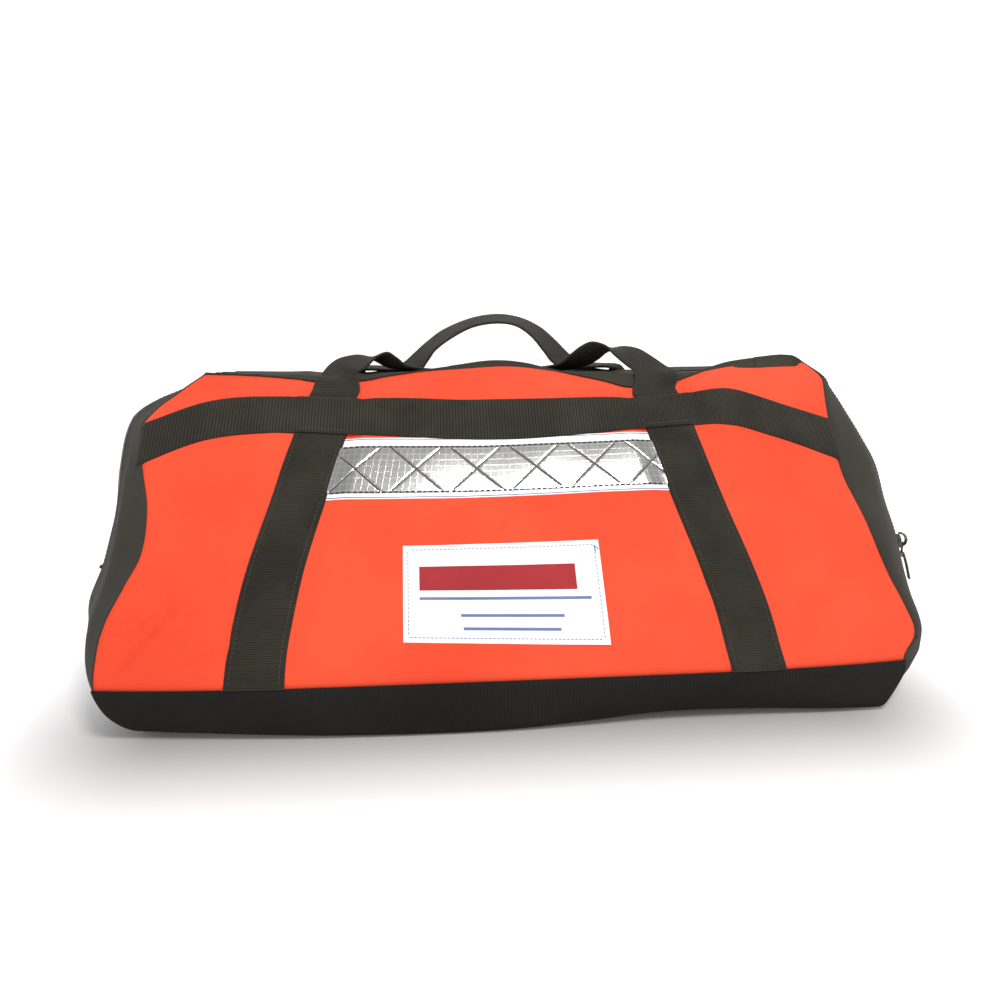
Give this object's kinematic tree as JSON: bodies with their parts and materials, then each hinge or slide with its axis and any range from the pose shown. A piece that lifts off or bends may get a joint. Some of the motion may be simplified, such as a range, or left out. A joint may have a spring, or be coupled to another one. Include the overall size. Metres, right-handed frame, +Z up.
{
  "type": "kit carry bag",
  "caption": "Soft zipped kit carry bag with red fabric sides, black ends and top, webbing handles, a waist strap, a reflective strip and a blank label patch.",
  "frame": {"origin": "middle of the base, on the surface that the bag stands on", "axes": "+X along the bag towards the end with the zip slider, -Y is the front with the label, +Z up"},
  "size_m": [0.8835, 0.4108, 0.3742],
  "materials": {
    "red_fabric": "woven coated fabric, matt",
    "black_fabric": "woven coated fabric, matt",
    "webbing": "ribbed woven webbing",
    "board": "moulded board",
    "zip_tape": "woven tape",
    "zip_teeth": "nylon coil",
    "slider_metal": "dark plated, worn",
    "reflective_film": "prismatic reflective film",
    "reflective_border": "smooth white vinyl",
    "label_cloth": "printed satin"
  },
  "bodies": {
    "root": {"base_panel": "black_fabric", "base_stiffener_board": "board", "front_base_band": "black_fabric", "back_base_band": "black_fabric", "front_panel": "red_fabric", "back_panel": "red_fabric", "left_end_panel": "black_fabric", "right_end_panel": "black_fabric", "left_end_zip_tape": "zip_tape", "right_end_zip_tape": "zip_tape", "left_end_zip_teeth": "zip_teeth", "right_end_zip_teeth": "zip_teeth", "left_zip_stop": "slider_metal", "right_zip_stop": "slider_metal", "front_waist_strap": "webbing", "back_waist_strap": "webbing", "front_left_strap": "webbing", "front_right_strap": "webbing", "back_left_strap": "webbing", "back_right_strap": "webbing", "reflective_backing": "reflective_border", "reflective_tape": "reflective_film", "label_patch": "label_cloth"},
    "front_flap": {"front_zip_flap": "black_fabric", "front_zip_tape": "zip_tape", "front_zip_teeth": "zip_teeth"},
    "back_flap": {"back_zip_flap": "black_fabric", "back_zip_tape": "zip_tape", "back_zip_teeth": "zip_teeth"},
    "slider": {"zip_slider_body": "slider_metal", "zip_slider_bridge": "slider_metal"},
    "pull_ring": {"zip_pull_ring": "slider_metal"},
    "pull_tab": {"zip_pull_tab": "slider_metal"},
    "front_carry_handle": {"front_handle": "webbing"},
    "back_carry_handle": {"back_handle": "webbing"}
  },
  "joints": [
    {"name": "front_flap_open", "type": "hinge", "parent": "root", "child": "front_flap", "pos_m": [0, 0, 0.316], "axis": [-1, 0, 0], "range_deg": [0, 70]},
    {"name": "back_flap_open", "type": "hinge", "parent": "root", "child": "back_flap", "pos_m": [0, 0.08, 0.316], "axis": [1, 0, 0], "range_deg": [0, 70]},
    {"name": "zip_travel", "type": "slide", "parent": "root", "child": "slider", "axis": [0.0026, 0.3713, 0.9285], "range_m": [0, 0.03]},
    {"name": "pull_ring_swing", "type": "hinge", "parent": "slider", "child": "pull_ring", "pos_m": [0.44168, -0.06039, 0.12686], "axis": [0, -1, 0], "range_deg": [0, 100]},
    {"name": "pull_tab_swing", "type": "hinge", "parent": "pull_ring", "child": "pull_tab", "pos_m": [0.44168, -0.06039, 0.11366], "axis": [0, -1, 0], "range_deg": [0, 90]},
    {"name": "front_handle_swing", "type": "hinge", "parent": "root", "child": "front_carry_handle", "pos_m": [0, -0.03372, 0.28891], "axis": [1, 0, 0], "range_deg": [0, 150]},
    {"name": "back_handle_swing", "type": "hinge", "parent": "root", "child": "back_carry_handle", "pos_m": [0, 0.11531, 0.29091], "axis": [-1, 0, 0], "range_deg": [0, 130]}
  ],
  "couplings": [
    {"joint": "back_flap_open", "follows": "front_flap_open", "ratio": 1},
    {"joint": "zip_travel", "follows": "front_flap_open", "m_per_rad": 0.02454}
  ]
}
